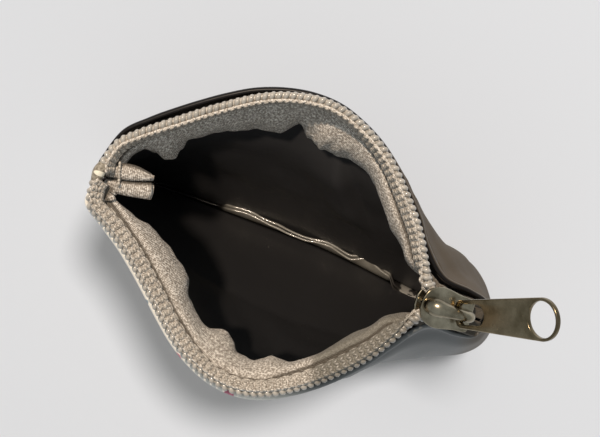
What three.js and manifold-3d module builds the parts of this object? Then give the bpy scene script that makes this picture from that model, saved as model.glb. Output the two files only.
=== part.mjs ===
// Coin pouch, a flat zip purse that stands open on its flattened bottom.
// Millimetres, +Z up. X runs along the zip towards the slider, -Y is the front panel.
// The origin is on the flat resting face, beside the bottom seam.
import * as THREE from "three";
import { mergeVertices } from "three/addons/utils/BufferGeometryUtils.js";
import Module from "manifold-3d";

const wasm = await Module();
wasm.setup();

// Driving dimensions
const gap = 0.3;
const panelWall = 1.2;
const tapeWall = 0.7;
const coilHeight = 84.6;
const cornerDroop = 5;
const droopStart = 24;
const droopEnd = 48;

const panelColumns = 40;
const tapeColumns = 44;
const lensPoints = 24;
const curveSegments = 10;
const overlap = 0.1;
const mergeDistance = 1e-4;

const coil = { width: 3, thickness: 2, steps: 44, segments: 4 };
const tape = {
  reach: 12,
  drop: 1.8,
  stitchDrop: 5,
  stitchIn: 0.2,
  bendIn: 0.5,
  bendDrop: 0.62,
  openShare: 0.88,
  closingFrom: 0.93,
  closingTaper: 0.1,
};
const hem = { frontOutward: 2, drop: 1.6, cornerIn: 0.2, cornerShare: 0.5 };
const closedZip = {
  hemY: 7.35,
  hemStart: 2,
  hemEnd: 4.5,
  tapeY: 5.5,
  tapeEnd: 43.8,
  chainEnd: 46,
  cornerX: 46,
  cornerY: 5.4,
};
const ridge = {
  thickness: 1.4,
  height: 4.2,
  steps: 14,
  bottomLeft: -44,
  bottomRight: 46.5,
  topLeft: -39.5,
  topRight: 42,
  sideStart: 14,
  sideInset: 4,
  sideWidth: 3.2,
  sideTop: 66,
};

const slider = {
  x: 37.4,
  y: -0.2,
  yaw: 3,
  pitch: 18,
  length: 11.4,
  frontHalf: 4.1,
  tailHalf: 3.5,
  plate: 0.9,
  channel: 3,
  flange: 0.7,
  flangeDepth: 0.8,
  shoulder: 0.1,
  noseBend: 0.42,
  noseShare: 0.35,
  postSetback: 0.4,
  postLength: 2.8,
  postWidest: 0.4,
  postHalf: 0.9,
};
const crown = {
  front: -4.3,
  rear: 5,
  height: 3.8,
  width: 2.2,
  windowFront: 0.3,
  windowRear: 3.9,
  windowHeight: 2.7,
  windowCorner: 0.9,
  rearShoulder: 2.6,
  frontShoulder: 3.4,
  frontRise: 0.9,
};
const pull = {
  yaw: 23,
  rise: 49,
  thickness: 1.1,
  barWidth: 1.5,
  barX: 2.05,
  barLift: 1.35,
  length: 28.4,
  rootHalf: 3,
  rootTaper: 1.6,
  rootCorner: 0.5,
  rootBend: 1.2,
  rootFlare: 0.2,
  endHalf: 4.3,
  eyeHalf: 2.2,
  eyeLength: 6.2,
  eyeCorner: 0.4,
  holeRadius: 3.65,
  holeAhead: 0.1,
};
const tapeEnd = { start: -37.6, length: 9, thickness: 2.7, height: 6, top: 82.2, spacing: 3.1, y: 1.3 };
const cornerFold = {
  radius: 1.35,
  x: -40.4,
  frontY: -3.6,
  backY: 3,
  rise: 0.3,
  tipIn: 1.6,
  bendIn: 0.2,
  bendShare: 0.6,
  steps: 8,
  segments: 5,
};

// Cross-sections of the two panels from the bottom seam up: where the side seams are, how far each
// panel stands out from them, how round the section is (1 is an ellipse), and how far it has taken on
// the outline of the rim. The right side seam is pushed forward, towards the front panel.
const sections = [
  { z: 0, left: -46.5, right: 48.5, seam: -1.6, rightSeam: -4.4, back: 0, front: 0, round: 1, rimShare: 0 },
  { z: 0, left: -49.2, right: 51.6, seam: -1.6, rightSeam: -4.4, back: 8.4, front: 8, round: 1, rimShare: 0 },
  { z: 1.4, left: -50.2, right: 52.6, seam: -1.6, rightSeam: -4.4, back: 9, front: 9.6, round: 1, rimShare: 0 },
  { z: 5, left: -50.6, right: 53.2, seam: -1.5, rightSeam: -4.6, back: 8.4, front: 11.2, round: 1, rimShare: 0 },
  { z: 14, left: -50.2, right: 53.6, seam: -1.3, rightSeam: -5, back: 8, front: 14, round: 1, rimShare: 0 },
  { z: 28, left: -48.8, right: 53.2, seam: -1, rightSeam: -5, back: 10.6, front: 17.6, round: 0.9, rimShare: 0.05 },
  { z: 42, left: -47, right: 52, seam: -0.7, rightSeam: -4.4, back: 13, front: 21, round: 0.8, rimShare: 0.2 },
  { z: 55, left: -45.2, right: 50.8, seam: -0.4, rightSeam: -3.4, back: 15, front: 24.6, round: 0.7, rimShare: 0.42 },
  { z: 65, left: -43.6, right: 49.8, seam: -0.2, rightSeam: -2, back: 19, front: 27.6, round: 0.65, rimShare: 0.64 },
  { z: 73, left: -42.2, right: 49, seam: 0, rightSeam: -0.8, back: 24, front: 30.2, round: 0.65, rimShare: 0.84 },
  { z: 79, left: -41.2, right: 48.4, seam: 0, rightSeam: 0, back: 29, front: 31.8, round: 0.7, rimShare: 0.94 },
  { z: 83, left: -40.8, right: 48, seam: 0, rightSeam: 0, back: 32.4, front: 32.6, round: 0.7, rimShare: 1 },
];

// Beside the right seam both panels bulge further: by how much at each height, where and how widely.
const lobes = {
  x: 40,
  width: 13,
  rows: [
    { z: 0, back: 5, front: 0.6 },
    { z: 5, back: 8.6, front: 2.2 },
    { z: 14, back: 11, front: 3 },
    { z: 28, back: 12, front: 3.4 },
    { z: 42, back: 12.2, front: 3.4 },
    { z: 55, back: 12, front: 2.4 },
    { z: 65, back: 10, front: 1.2 },
    { z: 73, back: 6.6, front: 0.4 },
    { z: 79, back: 2.6, front: 0 },
    { z: 83, back: 0, front: 0 },
  ],
};

// The open rim: how far each coil stands from the zip's line at each station along it, and how far
// the back panel's hem shows outside its coil.
const rim = [
  { x: -38.9, back: 4.4, front: -4.9, backHem: 1.8 },
  { x: -37.6, back: 8.3, front: -6.1, backHem: 2.4 },
  { x: -34, back: 11.9, front: -7.9, backHem: 2.8 },
  { x: -28, back: 16.7, front: -11.9, backHem: 3 },
  { x: -21, back: 22.1, front: -17.9, backHem: 2.9 },
  { x: -13, back: 27.4, front: -25, backHem: 2.5 },
  { x: -6, back: 30.1, front: -29.1, backHem: 1.8 },
  { x: 1, back: 30.9, front: -30.8, backHem: 1.4 },
  { x: 8, back: 29.1, front: -29.4, backHem: 1.2 },
  { x: 15, back: 25.1, front: -25.2, backHem: 1.2 },
  { x: 21, back: 19.4, front: -19.9, backHem: 1.3 },
  { x: 26.5, back: 12.9, front: -13.6, backHem: 1.8 },
  { x: 31.4, back: 5, front: -5.6, backHem: 2.2 },
];

// The free edge of each tape waves: how far it leans in from the coil, at stations along the rim.
const backWaves = [
  { x: -38, lean: 1 },
  { x: -34.5, lean: 3.2 },
  { x: -31.5, lean: 5.4 },
  { x: -27, lean: 3 },
  { x: -22.6, lean: 3.7 },
  { x: -17, lean: 5 },
  { x: -10.8, lean: 6.8 },
  { x: -6, lean: 4.8 },
  { x: -3, lean: 7.4 },
  { x: 2.5, lean: 9 },
  { x: 7.3, lean: 8 },
  { x: 12, lean: 6 },
  { x: 17, lean: 4.3 },
  { x: 25, lean: 4.6 },
  { x: 29, lean: 2 },
  { x: 33, lean: 0 },
];
const frontWaves = [
  { x: -38, lean: 1.5 },
  { x: -33.3, lean: 2.1 },
  { x: -29.7, lean: 4.6 },
  { x: -24, lean: 6 },
  { x: -20.5, lean: 6.4 },
  { x: -16.9, lean: 4.2 },
  { x: -12.2, lean: 3.8 },
  { x: -6.6, lean: 7.4 },
  { x: 0, lean: 5 },
  { x: 4.3, lean: 4.4 },
  { x: 9, lean: 5.4 },
  { x: 14.8, lean: 2.2 },
  { x: 19, lean: 2 },
  { x: 25, lean: 3.4 },
  { x: 29, lean: 1.6 },
  { x: 33, lean: 0 },
];

const sides = { back: 1, front: -1 };
const radians = THREE.MathUtils.degToRad;

function material(hex, roughness, metalness) {
  return new THREE.MeshStandardMaterial({ color: hex, roughness, metalness });
}

// A column of a table read at a place along its key column, eased from row to row.
function readTable(rows, place, column, key = "x") {
  const next = rows.findIndex((row) => row[key] >= place);
  if (next === 0) return rows[0][column];
  if (next < 0) return rows[rows.length - 1][column];
  const low = rows[next - 1];
  const high = rows[next];
  const share = THREE.MathUtils.smoothstep(place, low[key], high[key]);
  return THREE.MathUtils.lerp(low[column], high[column], share);
}

// The slider's corner of the mouth hangs lower than the rest of the rim.
function droop(x) {
  return cornerDroop * THREE.MathUtils.smoothstep(x, droopStart, droopEnd);
}

// The coil's line in plan, from the left corner to the slider's throat.
function rimLine(side) {
  return new THREE.SplineCurve(rim.map((row) => new THREE.Vector2(row.x, row[side])));
}

// The same line moved sideways in plan, positive away from the mouth, by a distance or by a
// function of x that gives one.
function offsetRim(side, distance, count) {
  const line = rimLine(side);
  const points = [];
  for (let i = 0; i <= count; i += 1) {
    const at = line.getPointAt(i / count);
    const along = line.getTangentAt(i / count);
    const outward = new THREE.Vector2(-along.y, along.x).multiplyScalar(sides[side]);
    const shift = typeof distance === "number" ? distance : distance(at.x);
    points.push(at.addScaledVector(outward, shift));
  }
  return points;
}

// The panel's top edge in plan: side seam, hem beside the open coil, hem beside the closed zip, side seam.
function hemLine(side) {
  const top = sections[sections.length - 1];
  const sign = sides[side];
  const outward = side === "front" ? hem.frontOutward : (x) => readTable(rim, x, "backHem");
  const open = offsetRim(side, outward, rim.length + 3);
  return new THREE.SplineCurve([
    new THREE.Vector2(top.left, (sign * gap) / 2),
    new THREE.Vector2(top.left - hem.cornerIn, open[0].y * hem.cornerShare),
    ...open.slice(0, -1),
    new THREE.Vector2(slider.x - closedZip.hemStart, sign * closedZip.hemY),
    new THREE.Vector2(slider.x + closedZip.hemEnd, sign * closedZip.hemY),
    new THREE.Vector2(closedZip.cornerX, sign * closedZip.cornerY),
    new THREE.Vector2(top.right, (sign * gap) / 2),
  ]);
}

// The line that parts the two panels: the seams lie on it, and it swings forward at the right.
function seamLineY(row, x) {
  return row.seam + row.rightSeam * THREE.MathUtils.smoothstep(x, 0, row.right);
}

// How far a panel stands out from the seam line at x, where across runs from -1 to 1 between the seams.
function standOut(side, row, x, across) {
  const bulge = Math.pow(1 - across * across, 1 / (1 + row.round));
  const lobe = readTable(lobes.rows, row.z, side, "z") * Math.exp(-(((x - lobes.x) / lobes.width) ** 2));
  return row[side] * bulge + (row[side] > 0 ? lobe * Math.sqrt(bulge) : 0);
}

// A full lens between the side seams, the shape of the panels below the rim.
function lensLine(side, row) {
  const points = [];
  for (let i = 0; i <= lensPoints; i += 1) {
    const across = -Math.cos((Math.PI * i) / lensPoints);
    const x = THREE.MathUtils.mapLinear(across, -1, 1, row.left, row.right);
    const y = seamLineY(row, x) + sides[side] * (gap / 2 + standOut(side, row, x, across));
    points.push(new THREE.Vector2(x, y));
  }
  return new THREE.SplineCurve(points);
}

// Outer surface of a panel as rows of points from the bottom seam to the hem.
function panelRows(side) {
  const top = sections[sections.length - 1];
  const hemPoints = hemLine(side).getSpacedPoints(panelColumns);
  return sections.map((row) => {
    const lens = lensLine(side, row).getSpacedPoints(panelColumns);
    return lens.map((point, i) => {
      const at = point.lerp(hemPoints[i], row.rimShare);
      const height = row.z + (coilHeight - hem.drop - top.z) * row.rimShare;
      return new THREE.Vector3(at.x, at.y, height - droop(at.x) * row.rimShare);
    });
  });
}

// A sheet through rows of points, with its thickness laid on the side that faces the mouth.
function bentSheet(rows, thickness, side) {
  const lastRow = rows.length - 1;
  const lastColumn = rows[0].length - 1;
  const pick = (r, c) => rows[THREE.MathUtils.clamp(r, 0, lastRow)][c];
  const inner = rows.map((row, r) =>
    row.map((point, c) => {
      const middle = THREE.MathUtils.clamp(c, 1, lastColumn - 1);
      const along = pick(r, middle + 1).clone().sub(pick(r, middle - 1));
      const up = pick(r + 1, middle).clone().sub(pick(r - 1, middle));
      const inward = along.cross(up).normalize().multiplyScalar(sides[side] * thickness);
      return point.clone().add(inward);
    }),
  );
  return { outer: rows, inner };
}

// A closed mesh of a sheet, made by bending a subdivided box on to it.
function sheetMesh({ outer, inner }) {
  const rowCount = outer.length - 1;
  const columnCount = outer[0].length - 1;
  const box = new THREE.BoxGeometry(columnCount, rowCount, 1, columnCount, rowCount, 1);
  const position = box.attributes.position;
  for (let i = 0; i < position.count; i += 1) {
    const column = Math.round(position.getX(i) + columnCount / 2);
    const row = Math.round(position.getY(i) + rowCount / 2);
    const layer = position.getZ(i) > 0 ? outer : inner;
    position.setXYZ(i, ...layer[row][column].toArray());
  }
  return facingOut(box);
}

// The mesh's volume as its winding gives it, negative when the faces point inwards.
function windingVolume(geometry) {
  const position = geometry.attributes.position;
  const corner = [0, 1, 2].map(() => new THREE.Vector3());
  let volume = 0;
  for (let i = 0; i < geometry.index.count; i += 3) {
    corner.forEach((point, k) => point.fromBufferAttribute(position, geometry.index.getX(i + k)));
    volume += corner[0].dot(corner[1].clone().cross(corner[2])) / 6;
  }
  return volume;
}

function facingOut(geometry) {
  if (windingVolume(geometry) < 0) {
    const index = Array.from(geometry.index.array);
    for (let i = 0; i < index.length; i += 3) {
      const first = index[i];
      index[i] = index[i + 1];
      index[i + 1] = first;
    }
    geometry.setIndex(index);
  }
  geometry.computeVertexNormals();
  return geometry;
}

// Only the positions, with shared vertices merged.
function bareMerged(geometry) {
  const bare = geometry.clone();
  bare.deleteAttribute("normal");
  bare.deleteAttribute("uv");
  return mergeVertices(bare, mergeDistance);
}

function solidOf(geometry) {
  const merged = bareMerged(geometry);
  const vertProperties = new Float32Array(merged.attributes.position.array);
  const triVerts = new Uint32Array(merged.index.array);
  return new wasm.Manifold(new wasm.Mesh({ numProp: 3, vertProperties, triVerts }));
}

function geometryOf(solid) {
  const { vertProperties, triVerts } = solid.getMesh();
  const geometry = new THREE.BufferGeometry();
  geometry.setAttribute("position", new THREE.BufferAttribute(vertProperties, 3));
  geometry.setIndex(new THREE.BufferAttribute(triVerts, 1));
  geometry.computeVertexNormals();
  return geometry;
}

// One outer sheet, folded from the bottom seam over the flat base and up to the hem.
function panel(side) {
  const rows = panelRows(side);
  const sheet = bentSheet(rows, panelWall, side);
  sheet.inner.forEach((row, r) =>
    row.forEach((point) => {
      const clear = seamLineY(sections[r], point.x) + (sides[side] * gap) / 2;
      point.y = sides[side] > 0 ? Math.max(point.y, clear) : Math.min(point.y, clear);
    }),
  );
  return sheetMesh(sheet);
}

// The zip tape: it leaves the coil, runs down behind the stitching and leans in at its free edge.
function zipTape(side) {
  const sign = sides[side];
  const line = rimLine(side);
  const rows = [[], [], [], []];
  for (let i = 0; i <= tapeColumns; i += 1) {
    const share = i / tapeColumns;
    const open = Math.min(share / tape.openShare, 1);
    const closed = Math.max((share - tape.openShare) / (1 - tape.openShare), 0);
    const at = line.getPointAt(open);
    const along = line.getTangentAt(open);
    const inward = new THREE.Vector2(along.y, -along.x).multiplyScalar(sign);
    const nearSlider = THREE.MathUtils.smoothstep(open, tape.closingFrom, 1);
    const closedY = sign * closedZip.tapeY * (1 - tape.closingTaper * closed);
    at.x += closed * (closedZip.tapeEnd - at.x);
    at.y = THREE.MathUtils.lerp(at.y, closedY, nearSlider);
    inward.lerp(new THREE.Vector2(0, -sign), nearSlider).normalize();
    const top = coilHeight - tape.drop - droop(at.x);
    const lean = readTable(side === "front" ? frontWaves : backWaves, at.x, "lean");
    const hang = Math.sqrt(tape.reach * tape.reach - lean * lean);
    const stitchIn = tape.stitchIn * (1 - nearSlider);
    const stations = [
      { inwards: stitchIn, drop: 0 },
      { inwards: stitchIn, drop: tape.stitchDrop - tape.drop },
      { inwards: lean * tape.bendIn, drop: hang * tape.bendDrop },
      { inwards: lean, drop: hang },
    ];
    stations.forEach(({ inwards, drop }, k) => {
      const place = at.clone().addScaledVector(inward, inwards);
      rows[k].push(new THREE.Vector3(place.x, place.y, top - drop));
    });
  }
  return sheetMesh(bentSheet(rows.reverse(), tapeWall, side));
}

// A rounded bar swept along a line, wider than it is thick.
function sweptBar(points, width, thickness, steps, segments) {
  const shape = new THREE.Shape();
  shape.absellipse(0, 0, thickness / 2, width / 2, 0, 2 * Math.PI, false, 0);
  const path = new THREE.CatmullRomCurve3(points);
  return new THREE.ExtrudeGeometry(shape, {
    extrudePath: path,
    steps,
    curveSegments: segments,
    bevelEnabled: false,
  });
}

function zipCoil(side) {
  const points = offsetRim(side, 0, rim.length * 2).map(
    (at) => new THREE.Vector3(at.x, at.y, coilHeight - droop(at.x)),
  );
  return sweptBar(points, coil.width, coil.thickness, coil.steps, coil.segments);
}

function extruded(shape, depth) {
  return new THREE.ExtrudeGeometry(shape, { depth, bevelEnabled: false, curveSegments });
}

// Where the seam line is at x at any height.
function seamAt(x, z) {
  const next = Math.max(sections.findIndex((row) => row.z >= z), 1);
  const low = sections[next - 1];
  const high = sections[next];
  const share = high.z > low.z ? (z - low.z) / (high.z - low.z) : 0;
  return THREE.MathUtils.lerp(seamLineY(low, x), seamLineY(high, x), share);
}

// The seam edges stand up inside the pouch in a U: along the bottom and up both sides.
function seamRidge() {
  const low = panelWall + gap;
  const high = low + ridge.height;
  const { lerp } = THREE.MathUtils;
  const rows = sections.filter((row) => row.z >= ridge.sideStart && row.z <= ridge.sideTop);
  const shape = new THREE.Shape();
  const steps = Array.from({ length: ridge.steps + 1 }, (_, i) => i / ridge.steps);
  shape.moveTo(ridge.bottomLeft, low);
  steps.slice(1).forEach((share) => shape.lineTo(lerp(ridge.bottomLeft, ridge.bottomRight, share), low));
  const rightSide = rows.map((row) => [row.right - ridge.sideInset, row.z]);
  const leftSide = rows.map((row) => [row.left + ridge.sideInset, row.z]);
  rightSide.forEach(([x, z]) => shape.lineTo(x, z));
  rightSide.reverse().forEach(([x, z]) => shape.lineTo(x - ridge.sideWidth, z));
  steps.forEach((share) => shape.lineTo(lerp(ridge.topRight, ridge.topLeft, share), high));
  leftSide.forEach(([x, z]) => shape.lineTo(x + ridge.sideWidth, z));
  leftSide.reverse().forEach(([x, z]) => shape.lineTo(x, z));
  shape.closePath();
  const geometry = extruded(shape, ridge.thickness);
  geometry.rotateX(Math.PI / 2);
  geometry.translate(0, ridge.thickness / 2, 0);
  const position = geometry.attributes.position;
  for (let i = 0; i < position.count; i += 1) {
    position.setY(i, position.getY(i) + seamAt(position.getX(i), position.getZ(i)));
  }
  geometry.computeVertexNormals();
  return geometry;
}

// A tape end, folded back on itself and standing on edge inside the corner.
function tapeEndFold() {
  const round = tapeEnd.thickness / 2;
  const outline = new THREE.Shape();
  outline.moveTo(0, -round);
  outline.lineTo(tapeEnd.length - round, -round);
  outline.absarc(tapeEnd.length - round, 0, round, -Math.PI / 2, Math.PI / 2, false);
  outline.lineTo(0, round);
  outline.closePath();
  return extruded(outline, tapeEnd.height);
}

function foldedCorner() {
  const points = [
    [cornerFold.tipIn, cornerFold.frontY],
    [cornerFold.bendIn, cornerFold.frontY * cornerFold.bendShare],
    [0, 0],
    [cornerFold.bendIn, cornerFold.backY * cornerFold.bendShare],
    [cornerFold.tipIn, cornerFold.backY],
  ].map(([inwards, y]) => new THREE.Vector3(cornerFold.x + inwards, y, coilHeight + cornerFold.rise));
  const width = 2 * cornerFold.radius;
  return sweptBar(points, width, width, cornerFold.steps, cornerFold.segments);
}

function closedChain() {
  const start = slider.length / 2 + gap;
  const end = closedZip.chainEnd - slider.x;
  const shape = new THREE.Shape();
  shape.absellipse(0, 0, coil.width, coil.thickness / 2, 0, 2 * Math.PI);
  const geometry = new THREE.ExtrudeGeometry(shape, {
    depth: end - start,
    curveSegments,
    bevelEnabled: false,
  });
  geometry.rotateX(Math.PI / 2);
  geometry.rotateZ(Math.PI / 2);
  geometry.translate(start, 0, 0);
  return geometry;
}

// The slider's plate seen from above: a broad round shoulder and a narrower tail.
function plateOutline() {
  const { length, frontHalf, tailHalf } = slider;
  const shoulderX = -length * slider.shoulder;
  const bendX = -length * slider.noseBend;
  const noseHalf = frontHalf * slider.noseShare;
  const shape = new THREE.Shape();
  shape.moveTo(length / 2, -tailHalf);
  shape.lineTo(length / 2, tailHalf);
  shape.lineTo(shoulderX, frontHalf);
  shape.quadraticCurveTo(bendX, frontHalf, -length / 2, noseHalf);
  shape.lineTo(-length / 2, -noseHalf);
  shape.quadraticCurveTo(bendX, -frontHalf, shoulderX, -frontHalf);
  shape.closePath();
  return shape;
}

// The rims of the plates that wrap round the chain, on one side.
function flangeOutline(sign) {
  const { length, frontHalf, tailHalf, flange } = slider;
  const shoulderX = -length * slider.shoulder;
  const shape = new THREE.Shape();
  shape.moveTo(length / 2, sign * tailHalf);
  shape.lineTo(shoulderX, sign * frontHalf);
  shape.lineTo(shoulderX, sign * (frontHalf - flange));
  shape.lineTo(length / 2, sign * (tailHalf - flange));
  shape.closePath();
  return shape;
}

function postOutline() {
  const front = -slider.length / 2 + slider.postSetback;
  const widest = front + slider.postLength * slider.postWidest;
  const shape = new THREE.Shape();
  shape.moveTo(front, 0);
  shape.lineTo(widest, -slider.postHalf);
  shape.lineTo(front + slider.postLength, 0);
  shape.lineTo(widest, slider.postHalf);
  shape.closePath();
  return shape;
}

function raised(shape, bottom, top) {
  const geometry = extruded(shape, top - bottom);
  geometry.translate(0, 0, bottom);
  return facingOut(bareMerged(geometry));
}

function sliderBody() {
  const half = slider.channel / 2;
  const outer = half + slider.plate;
  const pieces = [
    raised(plateOutline(), -outer, -half),
    raised(plateOutline(), half, outer),
    raised(postOutline(), -half - overlap, half + overlap),
  ];
  [-1, 1].forEach((sign) => {
    pieces.push(raised(flangeOutline(sign), -half - overlap, -half + slider.flangeDepth));
    pieces.push(raised(flangeOutline(sign), half - slider.flangeDepth, half + overlap));
  });
  return geometryOf(pieces.map(solidOf).reduce((sum, piece) => sum.add(piece)));
}

// The domed bridge: its two feet stand on the upper plate and its window takes the pull's bar.
function sliderCrown() {
  const { front, rear, height, windowFront, windowRear, windowHeight, windowCorner, width } = crown;
  const shape = new THREE.Shape();
  shape.moveTo(front, 0);
  shape.lineTo(windowFront, 0);
  shape.lineTo(windowFront, windowHeight - windowCorner);
  shape.quadraticCurveTo(windowFront, windowHeight, windowFront + windowCorner, windowHeight);
  shape.lineTo(windowRear - windowCorner, windowHeight);
  shape.quadraticCurveTo(windowRear, windowHeight, windowRear, windowHeight - windowCorner);
  shape.lineTo(windowRear, 0);
  shape.lineTo(rear, 0);
  shape.quadraticCurveTo(rear, height, rear - crown.rearShoulder, height);
  shape.lineTo(front + crown.frontShoulder, height);
  shape.quadraticCurveTo(front, height * crown.frontRise, front, 0);
  const geometry = extruded(shape, width);
  geometry.rotateX(Math.PI / 2);
  geometry.translate(0, width / 2, slider.channel / 2 + slider.plate + gap);
  return geometry;
}

// The pull, lying along +X from the centre of its root bar.
function pullTab() {
  const { barWidth, length, rootHalf, endHalf, eyeHalf, eyeLength, eyeCorner, holeRadius, thickness } = pull;
  const { rootTaper, rootFlare } = pull;
  const cornerY = rootHalf - pull.rootCorner;
  const bendY = rootHalf - pull.rootBend;
  const tipX = length - barWidth / 2;
  const endX = tipX - endHalf;
  const shape = new THREE.Shape();
  shape.moveTo(0, -cornerY);
  shape.quadraticCurveTo(rootFlare, -rootHalf, rootTaper, -rootHalf);
  shape.lineTo(endX, -endHalf);
  shape.absarc(endX, 0, endHalf, -Math.PI / 2, Math.PI / 2, false);
  shape.lineTo(rootTaper, rootHalf);
  shape.quadraticCurveTo(rootFlare, rootHalf, 0, cornerY);
  shape.quadraticCurveTo(-barWidth / 2, bendY, -barWidth / 2, 0);
  shape.quadraticCurveTo(-barWidth / 2, -bendY, 0, -cornerY);
  const eye = new THREE.Path();
  const eyeStart = barWidth / 2;
  const eyeEnd = eyeStart + eyeLength - eyeHalf;
  eye.moveTo(eyeStart, -eyeHalf + eyeCorner);
  eye.lineTo(eyeStart, eyeHalf - eyeCorner);
  eye.lineTo(eyeStart + eyeCorner, eyeHalf);
  eye.lineTo(eyeEnd, eyeHalf);
  eye.absarc(eyeEnd, 0, eyeHalf, Math.PI / 2, -Math.PI / 2, true);
  eye.lineTo(eyeStart + eyeCorner, -eyeHalf);
  eye.closePath();
  const hole = new THREE.Path();
  hole.absarc(endX + pull.holeAhead, 0, holeRadius, 0, 2 * Math.PI, true);
  shape.holes.push(eye, hole);
  const geometry = extruded(shape, thickness);
  geometry.translate(0, 0, -thickness / 2);
  return geometry;
}

const printedCloth = material("#d8d4cc", 0.5, 0);
const darkCloth = material("#2b2624", 0.4, 0);
const seamEdge = material("#3a3634", 0.4, 0);
const tapeWeave = material("#a2968a", 0.9, 0);
const coilNylon = material("#b3a796", 0.45, 0);
const gunmetal = material("#6b6553", 0.35, 0.9);

const pouch = new THREE.Group();

function place(name, geometry, finish, parent = pouch) {
  const mesh = new THREE.Mesh(geometry, finish.clone());
  mesh.name = name;
  parent.add(mesh);
  return mesh;
}

place("front_panel", panel("front"), printedCloth);
place("back_panel", panel("back"), darkCloth);
place("seam_allowance", seamRidge(), seamEdge);
place("front_tape", zipTape("front"), tapeWeave);
place("back_tape", zipTape("back"), tapeWeave);
place("front_coil", zipCoil("front"), coilNylon);
place("back_coil", zipCoil("back"), coilNylon);
place("corner_fold", foldedCorner(), printedCloth);

["back", "front"].forEach((side) => {
  const fold = place(side + "_tape_end", tapeEndFold(), tapeWeave);
  const y = tapeEnd.y + (sides[side] * tapeEnd.spacing) / 2;
  fold.position.set(tapeEnd.start, y, tapeEnd.top - tapeEnd.height);
});

const zipEnd = new THREE.Group();
zipEnd.position.set(slider.x, slider.y, coilHeight - droop(slider.x));
zipEnd.rotation.set(0, radians(slider.pitch), radians(slider.yaw), "ZYX");
pouch.add(zipEnd);
place("closed_chain", closedChain(), coilNylon, zipEnd);
place("slider_body", sliderBody(), gunmetal, zipEnd);
place("slider_crown", sliderCrown(), gunmetal, zipEnd);

const barHeight = slider.channel / 2 + slider.plate + gap + pull.barLift;
zipEnd.updateMatrixWorld(true);
const bar = new THREE.Vector3(pull.barX, 0, barHeight).applyMatrix4(zipEnd.matrixWorld);
const pullMesh = place("pull_tab", pullTab(), gunmetal);
pullMesh.position.copy(bar);
pullMesh.rotation.set(0, radians(-pull.rise), radians(pull.yaw), "ZYX");

export default pouch;
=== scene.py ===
import math

import bmesh
import bpy
import numpy as np
from mathutils import Matrix, Vector, noise


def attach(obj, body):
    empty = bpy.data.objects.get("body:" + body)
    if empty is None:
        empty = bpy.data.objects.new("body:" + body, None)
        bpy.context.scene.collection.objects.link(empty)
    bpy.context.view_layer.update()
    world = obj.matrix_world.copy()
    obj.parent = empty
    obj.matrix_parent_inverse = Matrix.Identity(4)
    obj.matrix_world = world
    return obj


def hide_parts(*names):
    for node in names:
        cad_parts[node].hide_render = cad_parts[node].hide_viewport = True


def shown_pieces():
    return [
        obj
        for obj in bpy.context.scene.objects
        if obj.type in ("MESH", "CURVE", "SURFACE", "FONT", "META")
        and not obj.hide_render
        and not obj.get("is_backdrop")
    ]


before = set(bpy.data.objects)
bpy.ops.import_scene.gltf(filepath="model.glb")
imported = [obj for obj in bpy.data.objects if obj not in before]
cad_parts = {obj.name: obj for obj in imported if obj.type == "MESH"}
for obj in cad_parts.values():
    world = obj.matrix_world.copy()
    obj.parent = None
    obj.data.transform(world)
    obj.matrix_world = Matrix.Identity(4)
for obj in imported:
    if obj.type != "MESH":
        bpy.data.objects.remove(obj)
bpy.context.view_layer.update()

# A zip coin pouch standing open on its flattened bottom. Shapes are worked out in millimetres
# and scaled to metres when a piece is finished. X runs along the zip to the slider, -Y is the front.
mm = 0.001
sides = {"back": 1, "front": -1}
tableColumn = {"back": 1, "front": 2}
scene = bpy.context.scene
print("frame loaded:", len(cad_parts), "nodes")

view = {
    "place": (16.656, 21.653, 382.85),
    "right": (0.93623, 0.34626, -0.05984),
    "up": (-0.34842, 0.93686, -0.02999),
    "lens": 86.4, "sensor": 36,
}


def setAll(thing, **values):
    for name, value in values.items():
        setattr(thing, name, value)
    return thing


# The camera looks down into the mouth.
def makeCamera():
    data = setAll(bpy.data.cameras.new("camera"), lens=view["lens"], sensor_width=view["sensor"])
    setAll(data, clip_start=0.01, clip_end=20)
    camera = bpy.data.objects.new("camera", data)
    scene.collection.objects.link(camera)
    right, up = Vector(view["right"]).normalized(), Vector(view["up"]).normalized()
    back = right.cross(up).normalized()
    turn = Matrix((right, back.cross(right), back)).transposed().to_4x4()
    camera.matrix_world = Matrix.Translation(Vector(view["place"]) * mm) @ turn
    scene.camera = camera
    return right, up, back


imageRight, imageUp, imageBack = makeCamera()
print("camera placed")


def mix(a, b, t):
    return a + (b - a) * t


def ease(x, low, high):
    t = np.clip((x - low) / (high - low), 0, 1)
    return t * t * (3 - 2 * t)


# A column of a table read at a place along its first column, eased from row to row.
def readTable(rows, place, column):
    keys = [row[0] for row in rows]
    place = min(max(place, keys[0]), keys[-1])
    k = max(next(i for i, key in enumerate(keys) if key >= place), 1)
    return mix(rows[k - 1][column], rows[k][column], ease(place, keys[k - 1], keys[k]))


# The cubic between two values with their slopes, at t from 0 to 1.
def cubic(p, q, v, w, t):
    return (2 * p - 2 * q + v + w) * t**3 + (3 * q - 3 * p - 2 * v - w) * t**2 + v * t + p


# A smooth line through points, closely sampled.
def splineThrough(points, perSpan=24):
    p = np.array(points, float)
    p = np.vstack([p[:1], p, p[-1:]])
    t = np.arange(perSpan)[:, None] / perSpan
    spans = [cubic(b, c, (c - a) / 2, (d - b) / 2, t) for a, b, c, d in zip(p, p[1:], p[2:], p[3:])]
    return np.vstack([*spans, p[-1:]])


# A line read at places along it; its own points lie at the given distances.
def readLine(line, distances, places):
    return np.stack([np.interp(places, distances, column) for column in np.transpose(line)], axis=-1)


# Points at equal distances along a closely sampled line.
def evenly(line, count):
    along = np.concatenate([[0], np.cumsum(np.linalg.norm(np.diff(line, axis=0), axis=1))])
    return readLine(line, along, np.linspace(0, along[-1], count + 1))


def lengthOf(line):
    return np.linalg.norm(np.diff(line, axis=0), axis=1).sum()


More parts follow.
